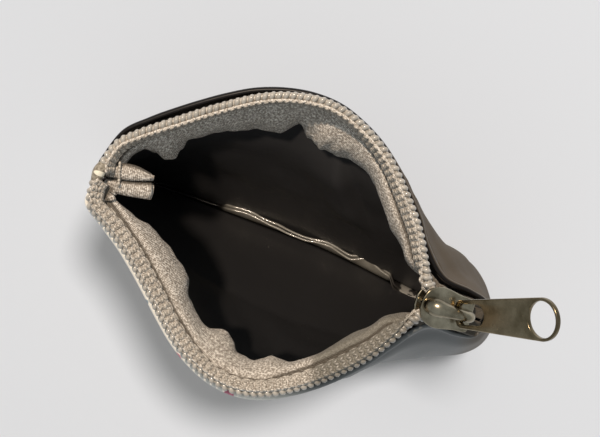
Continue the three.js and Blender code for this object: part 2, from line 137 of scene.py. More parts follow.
def unit(v):
    return v / np.maximum(np.linalg.norm(v, axis=-1, keepdims=True), 1e-9)


# Values through rows without overshoot: samples is how far along the rows, in rows.
def throughRows(rows, samples):
    rows = np.array(rows, float)
    slope = np.diff(rows, axis=0)
    a, b = slope[:-1], slope[1:]
    same = a * b > 0
    inner = np.where(same, 2 * a * b / np.where(same, a + b, 1), 0)
    tangent = np.concatenate([slope[:1], inner, slope[-1:]])
    out = []
    for s in samples:
        k = min(int(s), len(rows) - 2)
        out.append(cubic(rows[k], rows[k + 1], tangent[k], tangent[k + 1], s - k))
    return np.array(out)


# Smooth wandering between -1 and 1.
def wander(x, y=0.0, z=0.0):
    return noise.noise(Vector((x, y, z)))


def meshObject(name, bm, materials):
    mesh = bpy.data.meshes.new(name)
    bm.to_mesh(mesh)
    bm.free()
    for material in materials:
        mesh.materials.append(bpy.data.materials[material])
    made = bpy.data.objects.new(name, mesh)
    scene.collection.objects.link(made)
    return made


# A piece from a bmesh in millimetres: its place is in its mesh, and its object sits at the origin.
# A wall above 0 thickens a sheet, inwards with an offset of -1; inside is the inner face's material.
def finishPiece(name, bm, materials, replaces=(), body="pouch", wall=0, offset=-1, inside=0):
    bmesh.ops.scale(bm, vec=(mm, mm, mm), verts=bm.verts)
    piece = meshObject(name, bm, materials)
    faces = piece.data.polygons
    faces.foreach_set("use_smooth", [True] * len(faces))
    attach(piece, body)
    if replaces:
        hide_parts(*replaces)
    if wall:
        solid = piece.modifiers.new("wall", "SOLIDIFY")
        setAll(solid, thickness=wall * mm, offset=offset, material_offset=inside)
    print("made", name, len(faces), "faces")


# Distances of a grid's points from its columns' and its rows' own distances.
def ruled(across, down):
    return np.stack(np.meshgrid(across, down), axis=2)


# A grid laid on to rows of points, with its distances as the UV map in millimetres.
def layGrid(points, distances, facing):
    rows, columns = points.shape[0] - 1, points.shape[1] - 1
    bm = bmesh.new()
    uvMap = bm.loops.layers.uv.new("UVMap")
    bmesh.ops.create_grid(bm, x_segments=columns, y_segments=rows, size=1)
    for v, point in zip(bm.verts, points.reshape(-1, 3)):
        v.co = point
    bm.verts.index_update()
    uvs = distances.reshape(-1, 2)
    for face in bm.faces:
        for loop in face.loops:
            loop[uvMap].uv = uvs[loop.vert.index]
    bm.normal_update()
    centre = Vector(points[rows // 2, columns // 2])
    middle = min(bm.faces, key=lambda f: (f.calc_center_median() - centre).length)
    if middle.normal.dot(Vector(facing)) < 0:
        bmesh.ops.reverse_faces(bm, faces=bm.faces)
    return bm


# The mesh of a curve, which itself isn't kept.
def meshOfCurve(curve):
    holder = bpy.data.objects.new(curve.name, curve)
    bm = bmesh.new()
    bm.from_mesh(holder.to_mesh())
    holder.to_mesh_clear()
    bpy.data.objects.remove(holder)
    bpy.data.curves.remove(curve)
    return bm


# A round thread or wire along points; shares swell or narrow it along its length.
def wire(name, points, radius, sidesRound, shares=None):
    curve = setAll(bpy.data.curves.new(name, "CURVE"), dimensions="3D", use_fill_caps=True)
    setAll(curve, bevel_depth=radius, bevel_resolution=sidesRound)
    spline = curve.splines.new("POLY")
    spline.points.add(len(points) - 1)
    spline.points.foreach_set("co", np.hstack([points, np.ones((len(points), 1))]).ravel())
    if shares is not None:
        spline.points.foreach_set("radius", list(shares))
    return meshOfCurve(curve)


# One bmesh moved to its place and added to another.
def addTo(bm, other, matrix):
    bmesh.ops.transform(other, matrix=matrix, verts=other.verts)
    mesh = bpy.data.meshes.new("part")
    other.to_mesh(mesh)
    other.free()
    bm.from_mesh(mesh)
    bpy.data.meshes.remove(mesh)


def turnAbout(axis, degrees):
    return Matrix.Rotation(math.radians(degrees), 4, axis)


def startMaterial(name, values):
    material = bpy.data.materials.new(name)
    material.use_nodes = True
    shader = material.node_tree.nodes["Principled BSDF"]
    for socket, value in values.items():
        shader.inputs[socket].default_value = value
    place = node("TexCoord", {}, material.node_tree).outputs["Object"]
    return shader, place


# A node with its settings; an input that is a socket is linked, and any other is a value.
def node(kind, inputs, tree=None, **settings):
    sockets = [key for key, value in inputs.items() if isinstance(value, bpy.types.NodeSocket)]
    tree = tree or inputs[sockets[0]].id_data
    made = setAll(tree.nodes.new("ShaderNode" + kind), **settings)
    for key, value in inputs.items():
        if key in sockets:
            tree.links.new(value, made.inputs[key])
        else:
            made.inputs[key].default_value = value
    return made


def feed(shader, socket, value):
    shader.id_data.links.new(value, shader.inputs[socket])


def calc(operation, a, b=0.0, c=0.5):
    return node("Math", {0: a, 1: b, 2: c}, operation=operation).outputs[0]


def times(first, *others):
    for other in others:
        first = calc("MULTIPLY", first, other)
    return first


# From 0 to 1 as a value goes from low to high.
def rise(value, low, high, ends=(0.0, 1.0)):
    inputs = {0: value, 1: low, 2: high, 3: ends[0], 4: ends[1]}
    return node("MapRange", inputs, interpolation_type="SMOOTHSTEP").outputs[0]


def fall(value, low, high):
    return rise(value, low, high, (1.0, 0.0))


def distanceFrom(value, centre):
    return calc("ABSOLUTE", calc("SUBTRACT", value, centre))


def opaque(colour):
    return (*colour, 1.0) if isinstance(colour, tuple) else colour


# A colour with others laid over it, each where its own factor says.
def layered(colour, *layers):
    for factor, over in layers:
        inputs = {0: factor, 6: opaque(colour), 7: opaque(over)}
        colour = node("Mix", inputs, data_type="RGBA").outputs[2]
    return colour


def paint(shader, colour, *layers):
    feed(shader, "Base Color", layered(colour, *layers))


def parts(vector):
    return node("SeparateXYZ", {0: vector}).outputs[:3]


def noiseAt(vector, scale, detail=3.0, rough=0.55):
    inputs = {"Vector": vector, "Scale": scale, "Detail": detail, "Roughness": rough}
    return node("TexNoise", inputs).outputs["Fac"]


# Scattered spots: the distance to the nearest one's middle, and random numbers of that one.
def spotsAt(vector, scale, randomness, dimensions):
    inputs = {"Vector": vector, "Scale": scale, "Randomness": randomness}
    cells = node("TexVoronoi", inputs, voronoi_dimensions=dimensions).outputs
    return cells["Distance"], node("SeparateColor", {0: cells["Color"]}).outputs


# A bump on top of those that the shader already has.
def bump(shader, height, strength, distance):
    made = node("Bump", {"Height": height, "Strength": strength, "Distance": distance})
    for link in shader.inputs["Normal"].links:
        feed(made, "Normal", link.from_socket)
    feed(shader, "Normal", made.outputs[0])


def uvOf(shader):
    return node("UVMap", {}, shader.id_data, uv_map="UVMap").outputs[0]


# Crossing threads in UV millimetres: small diamonds, raised in the middle.
def weave(uv, pitch):
    along, across, _ = parts(uv)
    turns = 2 * math.pi / pitch
    plus = calc("SINE", times(calc("ADD", along, across), turns))
    minus = calc("SINE", times(calc("SUBTRACT", along, across), turns))
    return calc("MULTIPLY_ADD", times(plus, minus), 0.5)


# Where shade is painted on the zip's colour: the direction along it, the stretch where it starts, and the
# front's edge of it.
paintedZipShade = {"towards": (0.936, 0.346), "starts": (0.0062, 0.0092), "front": (-0.006, -0.001)}


# Painted shade on the zip: the front's last stretch before the slider is painted darker.
def paintedShadeNearSlider(place, much):
    x, y, _ = parts(place)
    along = calc("ADD", times(x, paintedZipShade["towards"][0]), times(y, paintedZipShade["towards"][1]))
    return times(rise(along, *paintedZipShade["starts"]), fall(y, *paintedZipShade["front"]), much)


clothLooks = {
    "ground": (0.90, 0.87, 0.79),
    "groundShade": (0.74, 0.71, 0.63),
    "spots": (0.62, 0.20, 0.27),
    "smallSpots": (0.30, 0.36, 0.40),
    "blueGrey": (0.148, 0.156, 0.156),
    "brown": (0.082, 0.061, 0.038),
    "paleBrown": (0.108, 0.082, 0.053),
    "black": (0.012, 0.011, 0.011),
    "spotSpacing": 6.5, "threadPitch": 0.42,
    # the front's crease, where a shade line is painted: the direction across it, and how far that way it lies
    "creaseAcross": (0.707, 0.0, 0.707),
    "creaseAt": 0.072114,
}


# The front's printed cloth: pale with small spots, then blue-grey, then brown towards the slider, with a
# shade line painted along its crease.
def makeFrontCloth():
    looks = clothLooks
    shader, place = startMaterial("frontCloth", {"Roughness": 0.5, "Specular IOR Level": 0.35})
    uv, x = uvOf(shader), parts(place)[0]
    fromMiddle, pick = spotsAt(uv, 1 / looks["spotSpacing"], 0.7, "2D")
    isSmall = calc("GREATER_THAN", pick[0], 0.55)
    wavyX = calc("ADD", x, times(calc("SUBTRACT", noiseAt(place, 26.0, 2.0), 0.5), 0.016))
    across = node("VectorMath", {0: place, 1: looks["creaseAcross"]}, operation="DOT_PRODUCT").outputs[1]
    paintedCreaseShade = times(fall(distanceFrom(across, looks["creaseAt"]), 0.0002, 0.0014), rise(x, 0.026, 0.036))
    paint(
        shader,
        looks["ground"],
        (times(noiseAt(place, 90.0), 0.35), looks["groundShade"]),
        (times(fall(fromMiddle, 0.15, 0.18), calc("SUBTRACT", 1.0, isSmall)), looks["spots"]),
        (times(fall(fromMiddle, 0.07, 0.09), isSmall), looks["smallSpots"]),
        (rise(wavyX, 0.006, 0.020), looks["blueGrey"]),
        (rise(wavyX, 0.043, 0.050), looks["brown"]),
        # painted shade along the crease, fading out towards the right seam
        (times(paintedCreaseShade, fall(x, 0.042, 0.050), 0.7), looks["black"]),
    )
    bump(shader, weave(uv, looks["threadPitch"]), 0.12, 0.0001)
    bump(shader, noiseAt(place, 260.0, 4.0), 0.18, 0.0004)


# The back's cloth: warm brown-grey, black along the hem and towards the left.
def makeBackCloth():
    looks = clothLooks
    shader, place = startMaterial("backCloth", {"Specular IOR Level": 0.15})
    uv, x = uvOf(shader), parts(place)[0]
    down = parts(uv)[1]
    soft = noiseAt(place, 70.0, 4.0)
    brown = layered(looks["brown"], (soft, looks["paleBrown"]))
    reach = calc("MULTIPLY_ADD", rise(x, -0.010, 0.020), -13.0, 15.0)
    uneven = times(calc("SUBTRACT", soft, 0.5), 0.35)
    isBrown = rise(calc("SUBTRACT", down, times(reach, calc("ADD", uneven, 1.0))), -0.6, 0.6)
    turned = times(rise(down, 0.3, 0.5), fall(down, 1.0, 1.3), rise(x, 0.010, 0.020), 0.8)
    paint(shader, looks["black"], (isBrown, brown), (turned, brown))
    feed(shader, "Roughness", calc("MULTIPLY_ADD", isBrown, 0.3, 0.3))
    bump(shader, weave(uv, looks["threadPitch"]), 0.1, 0.0001)
    bump(shader, noiseAt(place, 240.0, 4.0), 0.2, 0.0004)


liningLooks = {
    "colour": (0.034, 0.034, 0.036),
    "wearAndPaintedShade": (0.042, 0.042, 0.044),
    "speck": (0.32, 0.30, 0.27),
}


# Black satin lining with a few specks of lint.
def makeLiningCloth():
    looks = liningLooks
    shader, place = startMaterial("lining", {"Specular IOR Level": 0.35})
    cloud = noiseAt(place, 55.0, 4.0)
    fromMiddle, pick = spotsAt(place, 95.0, 1.0, "3D")
    specks = times(fall(fromMiddle, 0.020, 0.040), calc("GREATER_THAN", pick[1], 0.80))
    paint(shader, looks["colour"], (cloud, looks["wearAndPaintedShade"]), (specks, looks["speck"]))
    feed(shader, "Roughness", calc("MULTIPLY_ADD", cloud, 0.18, 0.34))
    bump(shader, noiseAt(place, 130.0, 5.0), 0.22, 0.0006)


seamLooks = {
    "leftPaintedShade": (0.012, 0.011, 0.010),
    "low": (0.12, 0.115, 0.10),
    "high": (0.38, 0.37, 0.33),
    "shaded": (0.03, 0.028, 0.026),
    "glint": (0.34, 0.33, 0.30),
}


# The seam's raw edge, glossy, with light painted into its colour: painted shade at the left, a pale middle
# that is partly its own paler edge and partly painted highlight where it stands up into the light, painted
# shade past that and painted glints beyond.
def makeSeamEdge():
    looks = seamLooks
    values = {"Roughness": 0.3, "Coat Weight": 0.7, "Coat Roughness": 0.1}
    shader, place = startMaterial("seamEdge", values)
    cloud = noiseAt(place, 420.0, 4.0)
    x = parts(place)[0]
    paint(
        shader,
        # painted shade everywhere but the pale middle
        looks["leftPaintedShade"],
        # the pale middle: its own paler edge with painted highlight
        (rise(x, -0.0215, -0.0195), layered(looks["low"], (cloud, looks["high"]))),
        (rise(x, 0.0262, 0.0272), looks["shaded"]),
        (times(rise(x, 0.0300, 0.0306), rise(cloud, 0.42, 0.5)), looks["glint"]),
    )
    bump(shader, cloud, 0.35, 0.0003)


tapeLooks = {
    "low": (0.22, 0.190, 0.158),
    "high": (0.54, 0.485, 0.418),
    "paintedGlint": (0.98, 0.93, 0.85),
    "wearAndPaintedShade": (0.16, 0.148, 0.118),
    # the colour of the shade painted in the stitched groove and under the slider, and where the groove lies
    # across the tape
    "seam": (0.075, 0.060, 0.042),
    "seamAt": 4.1,
    "pitch": 0.66,
}


# Woven zip tape: taupe, with a fine diamond weave; painted glints on the thread tops, and painted shade in
# the stitched groove, under the slider and on the front near the slider.
def makeTapeWeave():
    looks = tapeLooks
    values = {"Roughness": 0.62, "Sheen Weight": 0.12, "Sheen Roughness": 0.4}
    shader, place = startMaterial("tapeWeave", values)
    uv = uvOf(shader)
    threads = weave(uv, looks["pitch"])
    fibres = noiseAt(place, 2300.0, 1.0)
    level = calc("ADD", times(threads, 0.35), fibres)
    paint(
        shader,
        looks["low"],
        (rise(level, 0.40, 0.80), looks["high"]),
        # painted glints on the raised thread tops
        (rise(level, 0.70, 0.84), looks["paintedGlint"]),
        (times(noiseAt(place, 180.0), 0.25), looks["low"]),
        # painted shade on the front near the slider
        (paintedShadeNearSlider(place, 0.86), looks["wearAndPaintedShade"]),
        # painted shade in the stitched groove, and under the slider from x 38.5 mm
        (times(fall(distanceFrom(parts(uv)[1], looks["seamAt"]), 0.5, 1.05), 0.85), looks["seam"]),
        (rise(parts(place)[0], 0.0385, 0.0400), looks["seam"]),
    )
    bump(shader, threads, 0.5, 0.00022)
    bump(shader, fibres, 0.7, 0.0003)


coilLooks = {"low": (0.34, 0.315, 0.275), "high": (0.56, 0.53, 0.475), "wearAndPaintedShade": (0.20, 0.185, 0.155)}


def makeCoilNylon():
    values = {"Roughness": 0.3, "Coat Weight": 0.8, "Coat Roughness": 0.1}
    shader, place = startMaterial("coilNylon", values)
    # a paler tone at random, then painted shade on the front near the slider
    layers = ((noiseAt(place, 300.0), coilLooks["high"]), (paintedShadeNearSlider(place, 0.8), coilLooks["wearAndPaintedShade"]))
    paint(shader, coilLooks["low"], *layers)
    bump(shader, noiseAt(place, 2500.0, 2.0), 0.15, 0.0001)


threadLooks = {
    "paleThread": ((0.25, 0.22, 0.18), (0.66, 0.61, 0.535)),
    "darkThread": ((0.010, 0.009, 0.009), (0.035, 0.032, 0.030)),
    "wearAndPaintedShade": (0.18, 0.166, 0.138),
}


# Sewing thread; the pale one also takes the painted shade on the front near the slider, where the other
# thread never runs.
def makeThread(name):
    values = {"Roughness": 0.45, "Coat Weight": 0.5, "Coat Roughness": 0.18}
    shader, place = startMaterial(name, values)
    fibres = noiseAt(place, 2600.0, 2.0)
    low, high = threadLooks[name]
    layers = [(rise(fibres, 0.3, 0.7), high)]
    if name == "paleThread":
        # painted shade on the front near the slider
        layers.append((paintedShadeNearSlider(place, 0.8), threadLooks["wearAndPaintedShade"]))
    paint(shader, low, *layers)
    bump(shader, fibres, 0.4, 0.0001)


metalLooks = {
    "slider": ((0.20, 0.172, 0.118), (0.50, 0.445, 0.33)),
    "pull": ((0.150, 0.120, 0.070), (0.30, 0.25, 0.165)),
    "scratches": (220.0, 2600.0, 900.0),
}


# Antique nickel: olive-grey, rubbed brighter in places, with faint scratches.
def makeMetal(name):
    shader, place = startMaterial(name + "Metal", {"Metallic": 1.0})
    low, high = metalLooks[name]
    paint(shader, low, (rise(noiseAt(place, 160.0, 5.0, 0.6), 0.36, 0.66), high))
    feed(shader, "Roughness", calc("MULTIPLY_ADD", noiseAt(place, 700.0, 4.0), 0.2, 0.14))
    stretched = node("Mapping", {0: place, 3: metalLooks["scratches"]}).outputs[0]
    bump(shader, noiseAt(stretched, 1.0), 0.12, 0.00008)


makeFrontCloth()
makeBackCloth()
makeLiningCloth()
makeSeamEdge()
makeTapeWeave()
makeCoilNylon()
for name in ("paleThread", "darkThread"):
    makeThread(name)
for name in ("slider", "pull"):
    makeMetal(name)
print("materials made")

# Both coils' lines in plan, and how the band of coil and tape rolls.
rim = {
    "height": 84.6, "droop": 5, "droopFrom": 24, "droopTo": 48,
    # x, back coil y, front coil y, how far the back hem shows outside its coil
    "stations": [
        (-38.9, 4.4, -4.9, 1.8), (-37.6, 8.3, -6.1, 2.4), (-34, 11.9, -7.9, 2.8), (-28, 16.7, -11.9, 3),
        (-21, 22.1, -17.9, 2.9), (-13, 27.4, -25, 2.5), (-6, 30.1, -29.1, 1.8), (1, 30.9, -30.8, 1.4),
        (8, 29.1, -29.4, 1.2), (15, 25.1, -25.2, 1.2), (21, 19.4, -19.9, 1.3), (26.5, 12.9, -13.6, 1.5),
        (31.4, 5, -5.6, 1.6),
    ],
    "frontHem": 2,
    # where each coil's line turns into the left corner
    "corners": {"front": [(-39.1, 0.2), (-39.6, -1.6)], "back": [(-38.4, 1.8), (-38.9, 3.2)]},
    "hemDrop": 1.6,
    # the two sides meet in the slider and run on as the closed chain
    "closing": [(34.6, 2.5), (38, 1.5), (43, 1.42), (46, 1.42)],
    # x, degrees that the band leans outwards, back and front
    "roll": [
        (-39, 24, 52), (-34, 10, 45), (-26, 4, 46), (-14, 4, 42), (-4, 6, 34), (6, 16, 36),
        (16, 28, 46), (24, 38, 52), (29, 30, 40), (33.5, -50, -50), (36, -84, -84),
    ],
}
slider = {"x": 37.4, "y": -0.2, "yaw": 3, "pitch": 18}


def droop(x):
    return rim["droop"] * ease(x, rim["droopFrom"], rim["droopTo"])


sliderZ = rim["height"] - droop(slider["x"])
sliderTurn = turnAbout("Z", slider["yaw"]) @ turnAbout("Y", slider["pitch"])
sliderPlace = Matrix.Translation((slider["x"], slider["y"], sliderZ)) @ sliderTurn


# The height of the coil's line: along the rim, and then down the slider's own slope.
def coilZ(x):
    level = rim["height"] - droop(x)
    sloping = sliderZ - math.tan(math.radians(slider["pitch"])) * (x - slider["x"])
    return mix(level, sloping, ease(x, 29, 34))


# One side of the open mouth in plan, as points.
def mouthPoints(side):
    return [(row[0], row[tableColumn[side]]) for row in rim["stations"]]


# Stations along one side's band: place, outwards, and the band's own two directions.
def bandStations(side, count):
    closed = [(x, slider["y"] + sides[side] * y) for x, y in rim["closing"]]
    plan = evenly(splineThrough(rim["corners"][side] + mouthPoints(side) + closed), count)
    along = unit(np.gradient(plan, axis=0))
    up = np.array([0, 0, 1])
    stations = []
    for (x, y), (tx, ty) in zip(plan, along):
        out = np.array([-ty, tx, 0]) * sides[side]
        roll = math.radians(readTable(rim["roll"], x, tableColumn[side]))
        at = np.array([x, y, coilZ(x)])
        heads = math.cos(roll) * up + math.sin(roll) * out
        face = math.cos(roll) * out - math.sin(roll) * up
        stations.append({"x": x, "at": at, "out": out, "heads": heads, "face": face, "roll": roll})
    return stations, lengthOf(plan)


coil = {
    "pitch": 1.5, "tall": 1.5, "thick": 0.98, "wire": 0.54, "core": 0.8, "pointsPerLoop": 14,
    "reach": 1.5, "top": 1.0, "end": 40.4, "squareness": 0.8,
}


# Middle of the coil: it keeps its outer and upper reach as the band rolls.
def coilMiddle(station):
    roll = station["roll"]
    openShare = 1 - ease(station["x"], 30, 35)
    across = math.hypot(coil["tall"] * math.sin(roll), coil["thick"] * math.cos(roll))
    high = math.hypot(coil["tall"] * math.cos(roll), coil["thick"] * math.sin(roll))
    shift = (coil["reach"] - across) * openShare
    lift = (coil["top"] - high) * openShare
    return station["at"] + station["out"] * shift + np.array([0, 0, lift])


# The coil is a flattened helix wound round a cord, which closes the gaps between its turns.
def makeCoil(side, replaces):
    stations = [s for s in bandStations(side, 400)[0] if s["x"] < coil["end"]]
    middles = np.array([coilMiddle(s) for s in stations])
    loops = round(lengthOf(middles) / coil["pitch"])
    count = loops * coil["pointsPerLoop"]
    shares = np.linspace(0, len(stations) - 1, count)
    path = {"middle": middles}
    for way in ("heads", "face"):
        path[way] = [s[way] for s in stations]
    path = {key: readLine(line, np.arange(len(line)), shares) for key, line in path.items()}
    turn = np.linspace(0, loops * 2 * math.pi, count) + (math.pi if side == "back" else 0)
    tall, thick = coil["tall"] - coil["wire"], coil["thick"] - coil["wire"]
    squarer = np.sign(np.cos(turn)) * np.abs(np.cos(turn)) ** coil["squareness"]
    line = path["middle"] + path["heads"] * (tall * squarer)[:, None]
    line += path["face"] * (thick * np.sin(turn))[:, None]
    name = side + "Coil"
    finishPiece(name, wire(name, line, coil["wire"], 2), ["coilNylon"], replaces)
    cord = wire(name + "Cord", path["middle"][:: coil["pointsPerLoop"]], coil["core"], 2)
    finishPiece(name + "Cord", cord, ["paleThread"])
    return path


grain = {"round": 6, "long": 4}


# Small rounded grains, one for each place, direction and size.
def makeGrains(name, places, material):
    bm = bmesh.new()
    for at, along, up, size in places:
        made = bmesh.ops.create_uvsphere(bm, u_segments=grain["round"], v_segments=grain["long"], radius=0.5)
        x = Vector(along).normalized()
        y = Vector(up).cross(x).normalized()
        turn = Matrix((x, y, x.cross(y))).transposed().to_4x4()
        stretch = Matrix.Diagonal((*size, 1)) @ turnAbout("Y", 90)
        bmesh.ops.transform(bm, matrix=Matrix.Translation(at) @ turn @ stretch, verts=made["verts"])
    finishPiece(name, bm, [material])


stitch = {
    "rows": (0.42, -1.02), "half": 0.34, "slant": 30, "size": (1.4, 0.82, 0.62), "lift": 0.36, "end": 33.5,
}


# Two rows of chain stitches on the inner face of the tape hold the coil, each a V of two grains.
def makeChainStitches(side, path):
    middles, heads, faces = path["middle"], path["heads"], path["face"]
    slant = math.radians(stitch["slant"])
    places = []
    for k in range(coil["pointsPerLoop"] // 2, len(middles) - 1, coil["pointsPerLoop"]):
        if middles[k][0] > stitch["end"]:
            continue
        along = unit(middles[k + 1] - middles[k - 1])
        for height in stitch["rows"]:
            for sign in (-1, 1):
                at = middles[k] + heads[k] * (height + sign * stitch["half"])
                at -= faces[k] * (coil["thick"] + stitch["lift"])
                way = along * math.cos(slant) + heads[k] * sign * math.sin(slant)
                places.append((at, way, -faces[k], stitch["size"]))
    makeGrains(side + "ChainStitches", places, "paleThread")


for side, nodes in (("front", ("front_coil", "closed_chain")), ("back", ("back_coil",))):
    makeChainStitches(side, makeCoil(side, nodes))

# The tapes hang from the coils into the mouth.
tape = {
    "wall": 0.5, "reach": 12, "top": 82.8, "columns": 420, "rows": 44, "gapToCoil": 0.28,
    "aboveCoil": 1.0, "groove": 2.7, "closedGroove": 1.9, "grooveDepth": 1.0, "grooveRow": 0.235,
    "ripple": 0.45, "flutter": 0.7,
    # x, how far from the zip's line the tape may reach beside the slider
    "limits": [(28, 11), (31.4, 5.6), (35, 4), (44, 3.5)],
    "shoulder": 0.9,
    # x, how far the free edge leans in from the coil
    "backWaves": [
        (-38, 0.4), (-35.4, 1.0), (-34.2, 3.4), (-32.9, 5.9), (-31.3, 6.1), (-29.9, 4.6), (-28.3, 3.1),
        (-25.5, 3.4), (-22.6, 3.7), (-17, 5), (-10.8, 6.8), (-6, 4.8), (-3, 7.4), (2.5, 9), (7.3, 8),
        (12, 6), (17, 4.3), (25, 4.6), (29, 2), (33, 0.6),
    ],
    "frontWaves": [
        (-38.9, -1.2), (-36.4, 0.2), (-33.3, 2.1), (-29.7, 4.6), (-24, 6), (-20.5, 6.4), (-16.9, 4.2),
        (-12.2, 3.8), (-6.6, 7.4), (0, 5), (4.3, 4.4), (9, 5.4), (14.8, 2.2), (19, 2), (25, 3.4),
        (29, 1.6), (33, 0.6),
    ],
}


# The tape's section at a station: up behind the coil, a stitched groove, then the loose margin.
def tapeSection(side, station):
    middle = coilMiddle(station)
    heads, face, out = station["heads"], station["face"], station["out"]
    x = station["x"]
    closed = ease(x, 30, 36)
    back = middle - face * (coil["thick"] + tape["gapToCoil"])
    groove = mix(tape["groove"], tape["closedGroove"], closed)
    lean = readTable(tape[side + "Waves"], x, 1)
    hang = math.sqrt(tape["reach"] ** 2 - lean**2)
    root = back - heads * groove + face * tape["grooveDepth"]
    flutter = tape["flutter"] * wander(x * 0.21, 3.1 * sides[side])
    openEdge = station["at"] - out * lean
    openEdge[2] = tape["top"] - droop(x) - hang + flutter
    closedEdge = root + np.array([0, 0, -tape["reach"] * 0.85])
    edge = mix(openEdge, closedEdge, closed)
    shoulder = root - (out * tape["shoulder"] + heads * 0.9) * (1 - closed) - face * 0.5
    drop = edge - shoulder
    bow = -out * (0.9 + 0.12 * lean) * (1 - closed)
    behind = [back + heads * tape["aboveCoil"], back - heads * 0.6, back - heads * (groove * 0.72)]
    loose = [shoulder + drop * 0.33 + bow * 0.75, shoulder + drop * 0.68 + bow * 0.6, edge]
    control = [*behind, root, shoulder, *loose]
    section = evenly(splineThrough(control, 10), tape["rows"])
    if x > tape["limits"][0][0]:
        limit = readTable(tape["limits"], x, 1)
        section[:, 1] = np.clip(section[:, 1], -limit, limit)
    return section


# The stations along a tape, and its groove's line.
def makeTape(side):
    stations, length = bandStations(side, tape["columns"])
    strips = np.array([tapeSection(side, s) for s in stations])
    rows = np.arange(tape["rows"] + 1)
    ripple = np.array([[wander(s["x"] * 0.45, r * 0.12, 7.7 * sides[side]) for r in rows] for s in stations])
    ripple *= ease(rows, 16, tape["rows"]) * tape["ripple"]
    outs = np.array([s["out"] for s in stations])
    strips -= outs[:, None, :] * ripple[:, :, None]
    steps = np.linalg.norm(np.diff(strips, axis=1), axis=2).mean(0)
    down = np.concatenate([[0], np.cumsum(steps)])[::-1]
    distances = ruled(np.linspace(0, length, len(stations)), down)
    bm = layGrid(strips.transpose(1, 0, 2)[::-1], distances, (0, -sides[side], 0.3))
    finishPiece(side + "Tape", bm, ["tapeWeave"], (side + "_tape",), wall=tape["wall"])
    return stations, strips[:, round(tape["rows"] * tape["grooveRow"])]


# Each row's spacing, size of a stitch, how far it stands off, and where it runs.
stitchRows = {
    "GrooveStitches": {"step": 2.6, "size": (2.2, 0.42, 0.42), "lift": 0.28, "from": -36.5, "to": 32},
    "HemStitches": {"step": 2.7, "size": (2.3, 0.42, 0.42), "lift": 0.12, "from": 12, "to": -40},
    "cornerBarTack": {"step": 0.7, "size": (1.1, 0.72, 0.6), "from": 0.2, "to": 4.9, "x": -35.2, "z": 83.2},
}


def makeStitches(side, name, points, material):
    row = stitchRows[name]
    line = evenly(points, max(2, round(lengthOf(points) / row["step"])))
    places = [((a + b) / 2, b - a, (0, 0.2, 1), row["size"]) for a, b in zip(line, line[1:])]
    makeGrains(side + name, places, material)


for side in ("front", "back"):
    stations, grooves = makeTape(side)
    row = stitchRows["GrooveStitches"]
    grooves -= np.array([s["face"] for s in stations]) * row["lift"]
    line = grooves[[row["from"] < s["x"] < row["to"] for s in stations]]
    makeStitches(side, "GrooveStitches", line, "paleThread")

# The two panels, lofted through sections from the ground up to the rim's own line.
panel = {
    "wall": 1.1, "columns": 260, "gap": 0.3, "width": 110,
    # z, left, right, seam, rightSeam, back, front, round, rimShare
    "sections": [
        (0, -46.5, 48.5, -1.6, -4.4, 0, 0, 1, 0),
        (0, -49.2, 51.6, -1.6, -4.4, 8.4, 8, 1, 0),
        (1.4, -50.2, 52.6, -1.6, -4.4, 9, 9.6, 1, 0),
        (5, -50.6, 53.2, -1.5, -4.6, 8.4, 11.2, 1, 0),
        (14, -50.2, 53.6, -1.3, -5, 8, 14, 1, 0),
        (28, -48.8, 54, -1, -5, 10.6, 17.6, 0.9, 0.05),
        (42, -47, 53.4, -0.7, -4.4, 13, 21, 0.8, 0.2),
        (55, -45.2, 52.4, -0.4, -3.4, 15, 24.6, 0.7, 0.42),
        (65, -43.6, 51.2, -0.2, -2, 19, 27.6, 0.65, 0.64),
        (73, -42.2, 49.8, 0, -0.8, 24, 30.2, 0.65, 0.84),
        (79, -41.2, 48.4, 0, 0, 29, 31.8, 0.7, 0.94),
        (83, -40.8, 48, 0, 0, 32.4, 32.6, 0.7, 1),
    ],
    # how much further both panels bulge beside the right seam: z, back, front
    "lobes": [
        (0, 5, 0.6), (5, 7.6, 1.2), (14, 9.4, 1), (28, 10.4, 0.6), (42, 10.4, 0.3), (55, 10, 0),
        (65, 8.4, 0), (73, 5.4, 0), (79, 2.2, 0), (83, 0, 0),
    ],
    "lobeX": {"back": 45.5, "front": 46},
    "lobeWidth": {"back": 10.5, "front": 9},
    "samplesPerRow": [10, 4, 6, 10, 14, 14, 14, 12, 12, 10, 16],
    # how far the hem stands from the zip's line beside the slider
    "besideSlider": {"front": (5.2, 4.9, 3.9), "back": (5.8, 5, 3.9)},
    # bellying of the loose cloth, and the pucker that the hem's seam draws in
    "belly": 1.1, "pucker": 0.35,
}
sectionNames = ("z", "left", "right", "seam", "rightSeam", "back", "front", "round", "rimShare")
sections = [dict(zip(sectionNames, row)) for row in panel["sections"]]


# The hem's line in plan: outside the coil, and straight past the slider to the right seam.
def hemLine(side):
    mouth = splineThrough(mouthPoints(side))
    count = len(rim["stations"]) + 3
    plan = evenly(mouth, count)
    along = unit(np.gradient(evenly(mouth, 400), axis=0))[:: 400 // count]
    sign = sides[side]
    hem = []
    for (x, y), (tx, ty) in zip(plan, along):
        outward = rim["frontHem"] if side == "front" else readTable(rim["stations"], x, 3)
        hem.append((x - ty * sign * outward, y + tx * sign * outward))
    top = sections[-1]
    gapHalf = sign * panel["gap"] / 2
    places = (slider["x"] - 2, slider["x"] + 4.5, 46)
    ends = [(x, sign * y) for x, y in zip(places, panel["besideSlider"][side])]
    start = [(top["left"], gapHalf), (top["left"] - 0.2, hem[0][1] * 0.5)]
    return splineThrough([*start, *hem[:-1], *ends, (top["right"], gapHalf)])


def seamY(row, x):
    return row["seam"] + row["rightSeam"] * ease(x, 0, row["right"])


